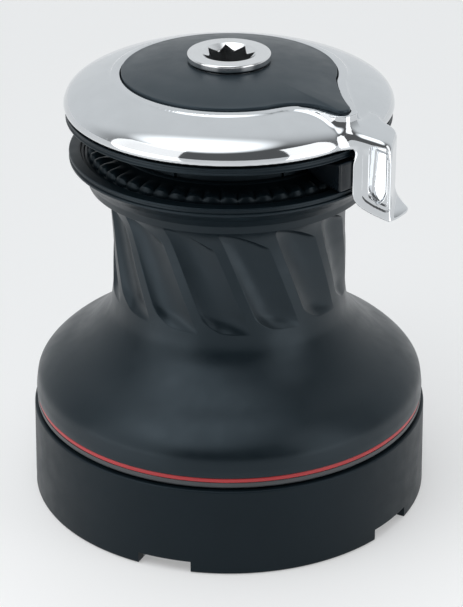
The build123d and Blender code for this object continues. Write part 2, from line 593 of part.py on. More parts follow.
def handle_socket():
    body = rod(SOCKET_BODY_R, 183.0, SOCKET_FLANGE_Z)
    body += turned([(0, SOCKET_FLANGE_Z), (SOCKET_FLANGE_R, SOCKET_FLANGE_Z), (SOCKET_FLANGE_R, 223.4),
                    (SOCKET_FLANGE_R - 0.9, SOCKET_TOP_Z), (0, SOCKET_TOP_Z)])
    depth = SOCKET_TOP_Z + 1 - SOCKET_FLOOR_Z
    middle = (SOCKET_TOP_Z + 1 + SOCKET_FLOOR_Z) / 2
    square = Pos(0, 0, middle) * Box(SOCKET_SQUARE, SOCKET_SQUARE, depth)
    star = Rot(0, 0, SOCKET_TURN) * square + Rot(0, 0, SOCKET_TURN + 45) * square
    star += rod(SOCKET_RIDGE_R, SOCKET_FLOOR_Z, SOCKET_TOP_Z + 1)
    funnel = turned([(0, 221.6), (SOCKET_RIDGE_R, 221.6), (SOCKET_MOUTH_R, SOCKET_TOP_Z),
                     (SOCKET_MOUTH_R, SOCKET_TOP_Z + 1), (0, SOCKET_TOP_Z + 1)])
    seat = double_d(SHAFT_R + GRIP, SHAFT_FLAT + GRIP, 182, SHAFT_TOP_Z)
    screw_hole = rod(4.0 + GRIP, 189, 198) + rod(6.6, 193.5, 198)
    return body - star - funnel - seat - screw_hole


def socket_screw():
    drive = Pos(0, 0, 195.6) * extrude(RegularPolygon(3.0, 6), 2)
    return rod(4.0, 172.0, 193.5) + rod(6.4, 193.5, 196.6) - drive


# ---- second-speed train -------------------------------------------------------------------------
def second_wheel():
    body = gear_blank(WHEEL_TEETH, WHEEL_PHASE, LOW_Z[0], LOW_Z[1], SECOND_AT)
    body -= rod(RATCHET_BORE_R, LOW_Z[0] - 1, LOW_Z[1] + 1, SECOND_AT)
    return body - saw_teeth(1, LOW_Z[0] + RATCHET_SIDE, LOW_Z[1] - RATCHET_SIDE, SECOND_AT)


def second_pinion():
    hub = pawl_hub(1, LOW_Z[0], LOW_Z[1], SECOND_AT)
    neck = rod(12.5, LOW_Z[1] - 1, HIGH_Z[0] + 1, SECOND_AT)
    teeth = gear_blank(SECOND_TEETH, SECOND_PHASE, HIGH_Z[0], HIGH_Z[1], SECOND_AT)
    return hub + neck + teeth - rod(SECOND_BUSH_R + GRIP, 20, 80, SECOND_AT)


def idler(at, phase):
    teeth = gear_blank(IDLER_TEETH, phase, HIGH_Z[0], HIGH_Z[1], at)
    return teeth - rod(IDLER_BUSH_R + GRIP, 50, 70, at)


# ---- every node ---------------------------------------------------------------------------------
def screws(r, head_r, z_tip, z_seat, z_head, at_r, angles):
    return Compound(children=[cap_screw(r, head_r, z_tip, z_seat, z_head, at_r, a) for a in angles])


def screw_ring(r, head_r, z_tip, z_seat, z_head, ring, count):
    """Evenly spaced screws on a ring given as its pitch radius and first angle."""
    angles = [ring[1] + 360.0 * k / count for k in range(count)]
    return screws(r, head_r, z_tip, z_seat, z_head, ring[0], angles)


def group(shapes):
    """Separate solids that share one node."""
    return Compound(children=list(shapes))


FIRST_PAWL_Z = (HIGH_Z[0] + RATCHET_SIDE + PAWL_GAP, HIGH_Z[1] - RATCHET_SIDE - PAWL_GAP)
SECOND_PAWL_Z = (LOW_Z[0] + RATCHET_SIDE + PAWL_GAP, LOW_Z[1] - RATCHET_SIDE - PAWL_GAP)
OVERRUN_FOLD = 12.4

PARTS = {
    "base_housing": base_housing(),
    "skirt": skirt(),
    "shaft_foot_bush": bush(BUSH_R - 4 - GRIP, JOURNAL_R, FLOOR_T + 0.5, 27.5),
    "centre_stem": centre_stem(),
    "stem_screws": screws(3.0, 5.0, 52.0, 77.0, 83.0, POST_AT_R, POST_ANGLES),
    "first_idler_pin": gear_pin(IDLER_PIN_R, FIRST_IDLER_AT),
    "reversing_idler_pin": gear_pin(IDLER_PIN_R, REVERSE_IDLER_AT),
    "second_gear_pin": gear_pin(SECOND_PIN_R, SECOND_AT),
    "shaft_middle_bush": bush(BUSH_R - GRIP, SHAFT_R, 69.0, 84.0),
    "shaft_top_bush": bush(BUSH_R - GRIP, SHAFT_R, 164.0, 177.5),
    "bearing_spacer": tube(46.5, STEM_R + GRIP, CAGE_Z[0][1] + 0.6, CAGE_Z[1][0] - 0.6),
    "lower_thrust_ring": tube(47.0, STEM_R + GRIP, THRUST_Z[0], THRUST_Z[1]),
    "upper_thrust_washer": tube(46.0, STEM_TOP_R + GRIP, STEM_STEP_Z, 173.8),
    "stripper_carrier": stripper_carrier(),
    "carrier_screws": screw_ring(2.5, 4.4, 182.0, 198.0, 202.4, CARRIER_SCREWS, 4),
    "feeder_ring": feeder_ring(),
    "ring_screws": screw_ring(2.0, 2.7, 199.0, 206.0, 209.0, RING_SCREWS, 4),
    "line_stripper": line_stripper(),
    "top_cover": top_cover(),
    "cover_seal": tube(18.2 - GRIP, SOCKET_BODY_R + 0.35, 214.0, 219.0),
    "drum": drum(),
    "ring_gear": ring_gear(),
    "ring_gear_screws": screw_ring(2.5, 3.3, 73.0, 54.5, 51.2, GEAR_SCREWS, 6),
    "drum_edge_ring": drum_edge_ring(),
    "red_trim_ring": tube(DRUM_R - 0.4, 91.45, TRIM_Z[0], TRIM_Z[1]),
    "upper_jaw": upper_jaw(),
    "jaw_screws": screw_ring(2.0, 3.5, 183.0, 193.9, 197.3, JAW_SCREWS, 6),
    "jaw_springs": group(around(jaw_spring(), SPRINGS, 30)),
    "lower_jaw": lower_jaw(),
    "lower_cage": roller_cage(*CAGE_Z[0]),
    "lower_rollers": group(roller_row(CAGE_Z[0][0] + 2, CAGE_Z[0][1] - 2, ROLLER_R)),
    "upper_cage": roller_cage(*CAGE_Z[1]),
    "upper_rollers": group(roller_row(CAGE_Z[1][0] + 2, CAGE_Z[1][1] - 2, ROLLER_R)),
    "main_shaft": main_shaft(),
    "second_drive_pinion": second_drive_pinion(),
    "pawl_carrier": pawl_carrier(),
    "first_ratchet_gear": first_ratchet_gear(),
    "first_pawl_springs": group(pawl_leaf(-1, a, *FIRST_PAWL_Z) for a in pawl_pivots()),
    "shaft_circlip": tube(14.5, 11.0 + GRIP, 178.7, 180.1),
    "handle_socket": handle_socket(),
    "socket_screw": socket_screw(),
    "first_idler": idler(FIRST_IDLER_AT, FIRST_IDLER_PHASE),
    "first_idler_bush": bush(IDLER_BUSH_R, IDLER_PIN_R, 50.2, 69.4, FIRST_IDLER_AT),
    "reversing_idler": idler(REVERSE_IDLER_AT, REVERSE_PHASE),
    "reversing_idler_bush": bush(IDLER_BUSH_R, IDLER_PIN_R, 50.2, 69.4, REVERSE_IDLER_AT),
    "second_wheel": second_wheel(),
    "second_pinion": second_pinion(),
    "second_pinion_bush": bush(SECOND_BUSH_R, SECOND_PIN_R, 29.2, 69.4, SECOND_AT),
    "second_pawl_springs": group(pawl_leaf(1, a, *SECOND_PAWL_Z, SECOND_AT) for a in pawl_pivots()),
}
for number, pivot in enumerate(pawl_pivots(), 1):
    PARTS[f"first_pawl_{number}"] = pawl(-1, pivot, 0.0, *FIRST_PAWL_Z)
    PARTS[f"second_pawl_{number}"] = pawl(1, pivot, OVERRUN_FOLD, *SECOND_PAWL_Z, SECOND_AT)

os.makedirs("parts", exist_ok=True)
for node, shape in PARTS.items():
    export_step(shape, f"parts/{node}.step")
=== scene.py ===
import json
import math

import bpy
import numpy as np
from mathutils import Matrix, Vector


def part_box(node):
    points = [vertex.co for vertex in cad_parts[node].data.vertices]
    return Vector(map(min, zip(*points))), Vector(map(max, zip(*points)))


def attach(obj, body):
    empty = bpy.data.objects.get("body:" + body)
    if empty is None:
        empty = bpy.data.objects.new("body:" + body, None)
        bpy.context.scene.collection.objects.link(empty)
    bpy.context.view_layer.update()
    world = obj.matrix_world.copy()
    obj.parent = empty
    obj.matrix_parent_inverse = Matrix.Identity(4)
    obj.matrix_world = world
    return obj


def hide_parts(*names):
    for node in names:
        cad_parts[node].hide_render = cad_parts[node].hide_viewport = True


# Looks of the two-speed self-tailing winch. Shapes are worked out in millimetres in the row frame.
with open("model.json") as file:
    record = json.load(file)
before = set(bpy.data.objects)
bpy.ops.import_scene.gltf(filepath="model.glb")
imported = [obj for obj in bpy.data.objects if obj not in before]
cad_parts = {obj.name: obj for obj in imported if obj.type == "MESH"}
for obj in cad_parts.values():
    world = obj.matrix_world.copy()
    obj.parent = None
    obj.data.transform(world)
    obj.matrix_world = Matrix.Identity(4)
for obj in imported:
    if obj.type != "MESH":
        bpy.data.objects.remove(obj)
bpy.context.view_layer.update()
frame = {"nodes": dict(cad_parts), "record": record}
MM = 0.001
NODES = frame["nodes"]
SLOT_OF = {part["node"]: part["material_slot"] for part in frame["record"]["subparts"]}


def size_of(node):
    """A turned node's outer radius, lowest height and highest height, in millimetres."""
    low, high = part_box(node)
    return max(high.x, high.y) / MM, low.z / MM, high.z / MM


# ---- sizes from the frame -----------------------------------------------------------------------
SKIRT_R, _, SKIRT_TOP = size_of("skirt")
DRUM_R, DRUM_FOOT, NECK_TOP = size_of("drum")
LOWER_JAW_R, LOWER_JAW_FOOT, _ = size_of("lower_jaw")
UPPER_JAW_R, _, UPPER_JAW_TOP = size_of("upper_jaw")
_, _, RING_TOP = size_of("feeder_ring")
_, COVER_FOOT, COVER_TOP = size_of("top_cover")
SOCKET_R, SOCKET_FOOT, SOCKET_TOP = size_of("handle_socket")
EDGE_R, EDGE_FOOT, _ = size_of("drum_edge_ring")
TRIM_R, TRIM_FOOT, TRIM_TOP = size_of("red_trim_ring")
SEAL_R, SEAL_FOOT, SEAL_TOP = size_of("cover_seal")
COVER_R = 50.5
LIP_R = 66.0
LIP_Z = 162.2
WAIST_R = 56.5
NECK_R = 53.0
KEYWAY_R = 51.2
RING_FOOT = 198.2
JAW_CLEAR_R = 79.2
DRAINS = 5
DRAIN_START = -108.4
DRAIN_HALF = 7.7
DRAIN_H = 5.3
FLUTES = 14
FLUTE_START = -30.5
FLUTE_HALF = 10.3
FLUTE_LEAN = 0.394
JAW_RIBS = 52


# ---- mesh helpers -------------------------------------------------------------------------------
def mesh_piece(name, points, faces, body, nodes, slot, sharp=38.0):
    """A new piece from points in millimetres, facing outwards, riding on a body for some CAD nodes."""
    mesh = bpy.data.meshes.new(name)
    mesh.from_pydata((np.asarray(points) * MM).tolist(), [], [list(map(int, f)) for f in faces])
    mesh.update()
    if signed_volume(mesh) < 0:
        mesh.flip_normals()
    mesh.shade_smooth()
    if sharp:
        mesh.set_sharp_from_angle(angle=math.radians(sharp))
    made = bpy.data.objects.new(name, mesh)
    bpy.context.scene.collection.objects.link(made)
    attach(made, body)
    if nodes:
        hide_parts(*nodes)
    made.data.materials.append(MATERIALS[slot])
    return made


def signed_volume(mesh):
    mesh.calc_loop_triangles()
    corners = np.zeros(len(mesh.loop_triangles) * 3, np.int32)
    mesh.loop_triangles.foreach_get("vertices", corners)
    co = np.zeros(len(mesh.vertices) * 3, np.float32)
    mesh.vertices.foreach_get("co", co)
    a, b, c = (co.reshape(-1, 3)[corners.reshape(-1, 3)[:, k]] for k in range(3))
    return float(np.einsum("ij,ij->i", a, np.cross(b, c)).sum())


def rounded(outline, radius=0.6, steps=4, guard=0.5, closed=True):
    """An outline with each corner turned into an arc. A corner's own radius is its third value."""
    corners = [(*point, radius)[:3] for point in outline]
    made = []
    for k, (across, up, fillet) in enumerate(corners):
        here = np.array((across, up))
        if not closed and k in (0, len(corners) - 1):
            made.append(here)
            continue
        back = np.array(corners[k - 1][:2]) - here
        on = np.array(corners[(k + 1) % len(corners)][:2]) - here
        back_run, on_run = np.linalg.norm(back), np.linalg.norm(on)
        back, on = back / back_run, on / on_run
        angle = math.acos(np.clip(back @ on, -1, 1))
        reach = min(fillet / math.tan(angle / 2), 0.45 * back_run, 0.45 * on_run)
        if reach < 0.02:
            made.append(here)
            continue
        if reach + guard < 0.49 * back_run:
            made.append(here + back * (reach + guard))
        for i in range(steps + 1):
            t = i / steps
            made.append(here + back * reach * (1 - t) ** 2 + on * reach * t ** 2)
        if reach + guard < 0.49 * on_run:
            made.append(here + on * (reach + guard))
    return np.array(made)


def curve_through(points, steps=8):
    """A smooth open curve through points (Catmull-Rom)."""
    p = np.asarray(points, float)
    p = np.vstack((2 * p[0] - p[1], p, 2 * p[-1] - p[-2]))
    made = []
    for a, b, c, d in zip(p, p[1:], p[2:], p[3:]):
        for t in np.arange(steps) / steps:
            made.append(0.5 * (2 * b + (c - a) * t + (2 * a - 5 * b + 4 * c - d) * t ** 2
                               + (3 * b - a - 3 * c + d) * t ** 3))
    return np.vstack((made, p[-2]))


def grid_faces(rows, columns):
    """Quads of a grid closed both ways."""
    index = np.arange(rows * columns).reshape(rows, columns)
    down, right = np.roll(index, -1, 0), np.roll(index, -1, 1)
    across = np.roll(down, -1, 1)
    return np.stack((index, right, across, down), -1).reshape(-1, 4)


def turned(name, outline, body, nodes, slot, angles=240, warp=None, sharp=38.0):
    """A closed outline turned about the axis. warp changes radius, height and angle, point by point."""
    if isinstance(angles, int):
        angles = np.arange(angles) * 360.0 / angles
    shape = (len(outline), len(angles))
    radius = np.broadcast_to(outline[:, 0, None], shape).copy()
    height = np.broadcast_to(outline[:, 1, None], shape).copy()
    turn = np.broadcast_to(np.asarray(angles)[None, :], shape).copy()
    if warp:
        radius, height, turn = warp(radius, height, turn)
    a = np.radians(turn)
    points = np.stack((radius * np.cos(a), radius * np.sin(a), height), -1).reshape(-1, 3)
    return mesh_piece(name, points, grid_faces(*shape), body, nodes, slot, sharp)


def sector_blocks(name, outline, starts, width, body, nodes, slot, steps=6):
    """Closed blocks: an outline turned through a few degrees, at each starting angle."""
    points, faces = [], []
    count = len(outline)
    for start in starts:
        base = len(points)
        for i in range(steps + 1):
            a = math.radians(start + width * i / steps)
            points += [(r * math.cos(a), r * math.sin(a), z) for r, z in outline]
        for i in range(steps):
            for k in range(count):
                row, on = base + i * count, (k + 1) % count
                faces.append((row + k, row + on, row + count + on, row + count + k))
        faces.append(tuple(range(base, base + count)))
        faces.append(tuple(range(base + steps * count, base + steps * count + count)))
    piece = mesh_piece(name, points, faces, body, nodes, slot)
    piece.data.validate()
    return piece


def smooth_step(x, low, high):
    t = np.clip((x - low) / (high - low), 0, 1)
    return t * t * (3 - 2 * t)


# ---- implicit shapes ----------------------------------------------------------------------------
def outline_distance(x, y, outline):
    """Signed distance to a closed outline, negative inside."""
    best = np.full(x.shape, 1e9)
    inside = np.zeros(x.shape, bool)
    for (ax, ay), (bx, by) in zip(outline, np.roll(outline, -1, 0)):
        run_x, run_y = bx - ax, by - ay
        t = np.clip(((x - ax) * run_x + (y - ay) * run_y) / max(run_x ** 2 + run_y ** 2, 1e-12), 0, 1)
        best = np.minimum(best, (x - ax - t * run_x) ** 2 + (y - ay - t * run_y) ** 2)
        if ay != by:
            inside ^= ((ay > y) != (by > y)) & (x < run_x * (y - ay) / run_y + ax)
    return np.where(inside, -1, 1) * np.sqrt(best)


class Section:
    """An outline's signed distance on a fine grid, softened so that its corners are round."""

    def __init__(self, outline, soft=0.5, step=0.2, margin=9.0):
        outline = np.asarray(outline, float)
        self.low = outline.min(0) - margin
        self.step = step
        counts = np.ceil((outline.max(0) + margin - self.low) / step).astype(int) + 1
        x, y = np.meshgrid(*(self.low[k] + step * np.arange(counts[k]) for k in range(2)), indexing="ij")
        value = outline_distance(x, y, outline)
        reach = max(1, int(3 * soft / step))
        weights = np.exp(-0.5 * (np.arange(-reach, reach + 1) * step / soft) ** 2)
        weights /= weights.sum()
        for axis in range(2):
            padded = np.pad(value, [(reach, reach) if k == axis else (0, 0) for k in range(2)], "edge")
            value = sum(w * np.take(padded, np.arange(value.shape[axis]) + i, axis)
                        for i, w in enumerate(weights))
        self.value = value

    def __call__(self, x, y):
        gx = np.clip((x - self.low[0]) / self.step, 0, self.value.shape[0] - 1.001)
        gy = np.clip((y - self.low[1]) / self.step, 0, self.value.shape[1] - 1.001)
        ix, iy = gx.astype(int), gy.astype(int)
        fx, fy = gx - ix, gy - iy
        v = self.value
        return ((v[ix, iy] * (1 - fx) + v[ix + 1, iy] * fx) * (1 - fy)
                + (v[ix, iy + 1] * (1 - fx) + v[ix + 1, iy + 1] * fx) * fy)


def join(a, b, soft):
    """Union of two shapes with a fillet."""
    h = np.clip(0.5 + 0.5 * (b - a) / soft, 0, 1)
    return b * (1 - h) + a * h - soft * h * (1 - h)


def meet(a, b, soft):
    """Intersection of two shapes with a rounded edge."""
    return -join(-a, -b, soft)


def cut(a, b, soft):
    """The first shape without the second."""
    return meet(a, -b, soft)


def gradient(field, points, reach=0.15):
    made = np.empty_like(points)
    for axis in range(3):
        offset = np.zeros(3)
        offset[axis] = reach
        made[:, axis] = field(points + offset) - field(points - offset)
    return made / (2 * reach)


def grid_line(low, high, step, fine=None):
    """Grid positions from low to high. fine is a stretch (from, to, step) with closer positions."""
    stretches = [(low, high, step)]
    if fine:
        stretches = [(low, fine[0], step), fine, (fine[1], high, step)]
    made = [np.linspace(a, b, max(2, int(math.ceil((b - a) / gap)) + 1))
            for a, b, gap in stretches if b > a]
    return np.unique(np.round(np.concatenate(made), 4))


def located(lines, places):
    """Positions in the row frame of places counted along the grid lines."""
    return np.stack([np.interp(places[:, k], np.arange(len(lines[k])), lines[k]) for k in range(3)], -1)


def sampled(field, lines, block=6):
    """The field on a grid. Blocks of cells far from the surface only take their middle's value."""
    counts = np.array([len(line) for line in lines])
    blocks = -(-(counts - 1) // block)
    block_numbers = np.meshgrid(*(np.arange(n) for n in blocks), indexing="ij")
    grid = np.stack(block_numbers, -1).reshape(-1, 3) * block
    near_end, far_end = located(lines, grid), located(lines, np.minimum(grid + block, counts - 1))
    middle = field((near_end + far_end) / 2)
    near = grid[np.abs(middle) < 0.6 * np.linalg.norm(far_end - near_end, axis=1)]
    value = middle.reshape(blocks)
    for axis in range(3):
        value = np.repeat(value, block, axis)
    value = np.pad(value, [(0, 1)] * 3, "edge")[:counts[0], :counts[1], :counts[2]].copy()
    offsets = np.stack(np.meshgrid(*[np.arange(block + 1)] * 3, indexing="ij"), -1).reshape(-1, 3)
    cells = (near[:, None] + offsets[None]).reshape(-1, 3)
    cells = cells[(cells < counts).all(1)]
    value[tuple(cells.T)] = field(located(lines, cells))
    return value


def surface(field, lines):
    """Points, quads and normals of the field's zero surface, with one point in each crossed cell."""
    counts = np.array([len(line) for line in lines])
    step = min(np.diff(line).min() for line in lines)
    value = sampled(field, lines)
    inside = value < 0
    corners = [np.array((i, j, k)) for i in (0, 1) for j in (0, 1) for k in (0, 1)]
    cell_shape = counts - 1
    filled = sum(inside[i:i + cell_shape[0], j:j + cell_shape[1], k:k + cell_shape[2]].astype(np.int8)
                 for i, j, k in corners)
    active = (filled > 0) & (filled < 8)
    number = np.full(active.shape, -1)
    cells = np.argwhere(active)
    number[active] = np.arange(len(cells))
    total, hits = np.zeros((len(cells), 3)), np.zeros(len(cells))
    for corner in corners:
        for axis in range(3):
            if corner[axis]:
                continue
            other = corner.copy()
            other[axis] = 1
            here, there = value[tuple((cells + corner).T)], value[tuple((cells + other).T)]
            crossed = (here < 0) != (there < 0)
            t = np.where(crossed, here / np.where(crossed, here - there, 1), 0)
            total += crossed[:, None] * (corner + t[:, None] * (other - corner))
            hits += crossed
    points = located(lines, cells + total / hits[:, None])
    faces = []
    for axis in range(3):
        u, v = (axis + 1) % 3, (axis + 2) % 3
        lower = np.take(inside, np.arange(counts[axis] - 1), axis)
        upper = np.take(inside, np.arange(1, counts[axis]), axis)
        edges = np.argwhere(lower != upper)
        edges = edges[(edges[:, u] > 0) & (edges[:, v] > 0)
                      & (edges[:, u] < counts[u] - 1) & (edges[:, v] < counts[v] - 1)]
        ring = []
        for du, dv in ((1, 1), (0, 1), (0, 0), (1, 0)):
            cell = edges.copy()
            cell[:, u] -= du
            cell[:, v] -= dv
            ring.append(number[tuple(cell.T)])
        quads = np.stack(ring, -1)
        outward = inside[tuple(edges.T)]
        faces.append(np.where(outward[:, None], quads, quads[:, ::-1]))
    for _ in range(3):
        slope = gradient(field, points)
        push = field(points) / np.maximum((slope ** 2).sum(1), 0.05)
        points = points - np.clip(push, -0.5 * step, 0.5 * step)[:, None] * slope
    slope = gradient(field, points, 0.3)
    return points, np.vstack(faces), slope / np.linalg.norm(slope, axis=1)[:, None]


def implicit_piece(name, field, low, high, step, body, nodes, slot, fine=(None, None, None)):
    lines = [grid_line(low[k], high[k], step, fine[k]) for k in range(3)]
    points, faces, normals = surface(field, lines)
    piece = mesh_piece(name, points, faces, body, nodes, slot, sharp=None)
    piece.data.normals_split_custom_set_from_vertices(normals.tolist())
    return piece


# ---- materials ----------------------------------------------------------------------------------
class Nodes:
    """Builds one material: a Principled shader fed by noise in the piece's own coordinates."""

    def __init__(self, name, metallic=0.0, specular=0.5, **constants):
        self.material = bpy.data.materials.new(name)
        self.material.use_nodes = True
        self.tree = self.material.node_tree
        self.shader = self.tree.nodes["Principled BSDF"]
        self.shader.inputs["Metallic"].default_value = metallic
        self.shader.inputs["Specular IOR Level"].default_value = specular
        for socket, value in constants.items():
            self.shader.inputs[socket.replace("_", " ")].default_value = value
        self.place = self.add("ShaderNodeTexCoord").outputs["Object"]
        self.height = None

    def add(self, kind, **values):
        node = self.tree.nodes.new(kind)
        for name, value in values.items():
            if hasattr(node, name):
                setattr(node, name, value)
            else:
                node.inputs[name.replace("_", " ")].default_value = value
        return node

    def link(self, output, socket):
        self.tree.links.new(output, socket)

    def noise(self, scale, detail=3.0, stretch=None):
        """Noise of so many grains per metre. stretch scales the coordinates first."""
        node = self.add("ShaderNodeTexNoise", Scale=scale, Detail=detail)
        place = self.place
        if stretch:
            mapping = self.add("ShaderNodeMapping")
            mapping.inputs["Scale"].default_value = stretch
            self.link(place, mapping.inputs["Vector"])
            place = mapping.outputs["Vector"]
        self.link(place, node.inputs["Vector"])
        return node.outputs["Fac"]

    def between(self, factor, low, high):
        """A factor stretched from low to high."""
        node = self.add("ShaderNodeMapRange")
        node.inputs["From Min"].default_value = 0.3
        node.inputs["From Max"].default_value = 0.7
        node.inputs["To Min"].default_value = low
        node.inputs["To Max"].default_value = high
        self.link(factor, node.inputs["Value"])
        return node.outputs["Result"]

    def mixed(self, factor, first, second):
        """One colour or the other. Each is a colour or an output."""
        node = self.add("ShaderNodeMix", data_type="RGBA")
        self.link(factor, node.inputs["Factor"])
        for value, socket in ((first, node.inputs[6]), (second, node.inputs[7])):
            if isinstance(value, bpy.types.NodeSocket):
                self.link(value, socket)
            else:
                socket.default_value = (*value, 1.0)
        return node.outputs[2]

    def edges(self, start=0.52, end=0.60):
        """Near 1 on convex edges."""
        ramp = self.add("ShaderNodeMapRange")
        ramp.inputs["From Min"].default_value = start
        ramp.inputs["From Max"].default_value = end
        self.link(self.add("ShaderNodeNewGeometry").outputs["Pointiness"], ramp.inputs["Value"])
        return ramp.outputs["Result"]

    def bump(self, height, depth, strength=1.0):
        """Adds a bump of a depth in metres."""
        node = self.add("ShaderNodeBump", Strength=strength, Distance=depth)
        self.link(height, node.inputs["Height"])
        if self.height is not None:
            self.link(self.height, node.inputs["Normal"])
        self.height = node.outputs["Normal"]
        self.link(self.height, self.shader.inputs["Normal"])

    def colour(self, output):
        self.link(output, self.shader.inputs["Base Color"])

    def roughness(self, output):
        self.link(output, self.shader.inputs["Roughness"])


def tint(colour, gain):
    return tuple(min(1.0, c * gain) for c in colour)


def grained(name, colour, rough, grain=2600.0, depth=0.00002, worn=None, **constants):
    """A satin finish: fine grain, slight cloudiness and paler edges."""
    made = Nodes(name, **constants)
    cloud = made.noise(45.0)
    made.colour(made.mixed(made.edges(), made.mixed(cloud, tint(colour, 0.8), tint(colour, 1.2)),
                           worn or tint(colour, 1.8)))
    made.roughness(made.between(made.noise(130.0), rough - 0.04, rough + 0.04))
    made.bump(made.noise(grain, 1.0), depth)
    return made.material


def machined(name, colour, rough, stretch=(1.0, 1.0, 30.0), scale=420.0, depth=0.000008, **constants):
    """Turned or ground metal: fine lines and a slightly uneven gloss."""
    made = Nodes(name, metallic=1.0, **constants)
    cloud = made.noise(60.0)
    made.colour(made.mixed(made.edges(), made.mixed(cloud, tint(colour, 0.92), tint(colour, 1.05)),
                           tint(colour, 1.15)))
    made.roughness(made.between(made.noise(scale * 0.6, 2.0, stretch), rough * 0.8, rough * 1.2))
    made.bump(made.noise(scale, 2.0, stretch), depth)
    return made.material


BLUE_SHEEN = (0.72, 0.88, 1.0, 1.0)
BODY_BLACK = (0.0045, 0.0085, 0.0115)
MATERIALS = {
    "skirt_black": grained("skirt_black", BODY_BLACK, 0.42, specular=0.22, Specular_Tint=BLUE_SHEEN),
    "housing": grained("housing", (0.30, 0.31, 0.32), 0.5, metallic=0.9),
    "steel": machined("steel", (0.55, 0.55, 0.55), 0.28),
    "stem_metal": machined("stem_metal", (0.52, 0.53, 0.54), 0.32),
    "bronze": machined("bronze", (0.55, 0.38, 0.17), 0.3),
    "bearing_plastic": grained("bearing_plastic", (0.62, 0.60, 0.54), 0.45),
    "black_anodised": grained("black_anodised", BODY_BLACK, 0.34, specular=0.40,
                              Specular_Tint=BLUE_SHEEN),
    "grey_edge": grained("grey_edge", (0.05, 0.055, 0.06), 0.35),
    "red_trim": grained("red_trim", (0.42, 0.025, 0.03), 0.35, depth=0.00001, worn=(0.5, 0.05, 0.05)),
    "jaw_black": grained("jaw_black", (0.004, 0.008, 0.011), 0.36, specular=0.28,
                         Specular_Tint=BLUE_SHEEN),
    "polished_chrome": machined("polished_chrome", (0.68, 0.70, 0.72), 0.06, depth=0.000001),
    "cover_black": grained("cover_black", (0.018, 0.027, 0.034), 0.36, specular=0.5,
                           Specular_Tint=BLUE_SHEEN),
    "socket_steel": machined("socket_steel", (0.78, 0.79, 0.80), 0.16, depth=0.000003),
    "rubber_black": grained("rubber_black", (0.012, 0.013, 0.014), 0.6),
    "stripper_black": grained("stripper_black", (0.004, 0.007, 0.010), 0.3, specular=0.3),
}
for name, node in NODES.items():
    node.data.materials.clear()
    node.data.materials.append(MATERIALS[SLOT_OF[name]])


# ---- base ---------------------------------------------------------------------------------------
def drain_share(turn):
    """1 at the drain notches in the skirt's foot, 0 elsewhere."""
    step = 360.0 / DRAINS
    off = np.abs((turn - DRAIN_START + step / 2) % step - step / 2)
    return (off < DRAIN_HALF).astype(float)


def make_skirt():
    sides = [DRAIN_START + 360.0 * k / DRAINS + side * (DRAIN_HALF + tiny)
             for k in range(DRAINS) for side in (-1, 1) for tiny in (-0.02, 0.02)]
    angles = np.unique(np.concatenate((np.arange(0, 360, 1.5), np.array(sides) % 360.0)))
    inner_r, seat_r = 92.8, 89.0
    outline = rounded([(inner_r, 0.0, 0.3), (SKIRT_R, 0.0, 0.5), (SKIRT_R - 0.9, SKIRT_TOP, 0.9),
                       (seat_r, SKIRT_TOP, 0.4), (seat_r, SKIRT_TOP - 2.2, 0.3),
                       (inner_r, SKIRT_TOP - 2.2, 0.3)])

    def notched(radius, height, turn):
        raised = np.where(drain_share(turn) > 0, DRAIN_H * (1 - height / SKIRT_TOP), 0)
        drawn_in = np.where(radius > 95.0, raised * 0.9 / SKIRT_TOP, 0)
        return radius - drawn_in, height + raised, turn

    turned("skirt_shell", outline, "base", ["skirt"], "skirt_black", angles, notched)


def make_trim():
    edge = rounded([(88.5, EDGE_FOOT), (EDGE_R - 0.4, EDGE_FOOT, 0.4), (EDGE_R, EDGE_FOOT + 0.8, 0.4),
                    (EDGE_R, TRIM_FOOT - 0.05, 0.25), (91.4, TRIM_FOOT - 0.05), (91.4, 54.0),
                    (88.5, 54.0)], 0.3)
    turned("drum_edge", edge, "drum", ["drum_edge_ring"], "grey_edge", 300)
    line = rounded([(91.5, TRIM_FOOT), (TRIM_R, TRIM_FOOT, 0.5), (TRIM_R, TRIM_TOP, 0.5),
                    (91.5, TRIM_TOP)], 0.2)
    turned("red_line", line, "drum", ["red_trim_ring"], "red_trim", 300)


# ---- drum ---------------------------------------------------------------------------------------
ARCH_Z = 153.0
HEEL_Z = 107.0
FLUTE_DEPTH = 3.0


def flute_column_angles():
    half_step = 180.0 / FLUTES
    near = FLUTE_HALF + np.array((-2.7, -1.5, -0.7, -0.25, 0.0, 0.15, 0.45))
    side = np.concatenate((np.arange(0.0, 7.5, 1.9), near, [half_step - 1.2]))
    one = np.unique(np.concatenate((-side, side, [half_step])))
    return np.concatenate([FLUTE_START + 360.0 * k / FLUTES + one for k in range(FLUTES)])


def arch_height(across):
    """Height of a flute's upper end: a sharp corner at the left, falling in an arch to the right."""
    share = np.clip((across + 0.82) / 1.82, 0, 1)
    corner = np.clip((-0.82 - across) / 0.18, 0, 1)
    return 158.0 - 9.8 * share ** 1.7 - 1.8 * corner ** 2


def heel_height(across):
    """Height of a flute's lower end: round at the left, lowest at its right edge."""
    return 104.4 + 1.0 * (1 - across) + 5.5 * np.clip((-across - 0.2) / 0.8, 0, 1) ** 2


